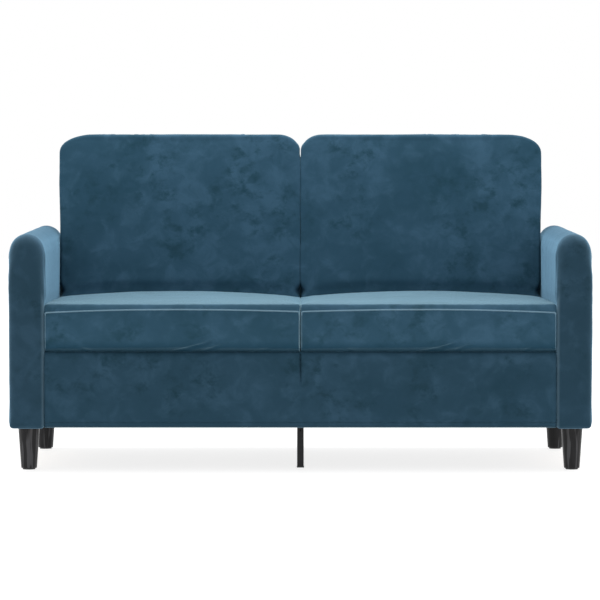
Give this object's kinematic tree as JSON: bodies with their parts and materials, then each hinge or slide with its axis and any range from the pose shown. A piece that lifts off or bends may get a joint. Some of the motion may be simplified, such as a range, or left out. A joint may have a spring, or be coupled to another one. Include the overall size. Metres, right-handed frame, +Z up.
{
  "type": "two-seat sofa",
  "caption": "Upholstered velvet loveseat with separate cushioned backs, slim round-topped arms, short round tapered legs and a thin centre support leg.",
  "frame": {"origin": "on the floor, under the middle of the overall width and depth", "axes": "+X along the seat towards the right arm as the sofa is looked at from the front, -Y the way the sofa faces, +Z up"},
  "size_m": [1.38, 0.77, 0.8],
  "materials": {
    "velvet": "petrol-blue short-pile velvet, pile runs down the fronts, darker and lighter patches where it is brushed",
    "foam": "cut polyurethane foam",
    "felt": "needled grey felt",
    "dust_cloth": "black spun-bonded cloth",
    "webbing": "woven elastic webbing",
    "pine": "planed softwood, unfinished",
    "hardboard": "pressed hardboard",
    "black_wood": "turned wood, stained black and lacquered satin",
    "spring_wire": "oil-tempered spring wire",
    "zinc_steel": "zinc-plated steel",
    "black_steel": "black powder-coated steel",
    "nylon": "black nylon"
  },
  "bodies": {
    "root": {"arm_bolts": "zinc_steel", "arm_bottom_rail_left": "pine", "arm_bottom_rail_right": "pine", "arm_cover_left": "velvet", "arm_cover_right": "velvet", "arm_foam_left": "foam", "arm_foam_right": "foam", "arm_front_post_left": "pine", "arm_front_post_right": "pine", "arm_panels_left": "hardboard", "arm_panels_right": "hardboard", "arm_rear_post_left": "pine", "arm_rear_post_right": "pine", "arm_top_rail_left": "pine", "arm_top_rail_right": "pine", "back_bolts": "zinc_steel", "back_bottom_rail_left": "pine", "back_bottom_rail_right": "pine", "back_cover_left": "velvet", "back_cover_right": "velvet", "back_foam_left": "foam", "back_foam_right": "foam", "back_top_rail_left": "pine", "back_top_rail_right": "pine", "back_uprights_left": "pine", "back_uprights_right": "pine", "back_webbing_left": "webbing", "back_webbing_right": "webbing", "base_centre_beam": "pine", "base_corner_blocks": "pine", "base_front_cover": "velvet", "base_front_padding": "foam", "base_front_rail": "pine", "base_rear_cover": "velvet", "base_rear_rail": "pine", "base_side_rail_left": "pine", "base_side_rail_right": "pine", "base_spring_rail": "pine", "centre_leg_cap": "nylon", "centre_leg_plate": "black_steel", "centre_leg_tube": "black_steel", "dust_cover": "dust_cloth", "leg_bolts": "zinc_steel", "leg_front_left": "black_wood", "leg_front_right": "black_wood", "leg_glides": "nylon", "leg_plates": "zinc_steel", "leg_rear_left": "black_wood", "leg_rear_right": "black_wood", "seat_cover_left": "velvet", "seat_cover_right": "velvet", "seat_deck": "felt", "seat_foam_left": "foam", "seat_foam_right": "foam", "seat_springs_left": "spring_wire", "seat_springs_right": "spring_wire", "spring_clips": "zinc_steel", "t_nuts": "zinc_steel", "washers": "zinc_steel", "wood_screws": "zinc_steel"}
  },
  "joints": []
}
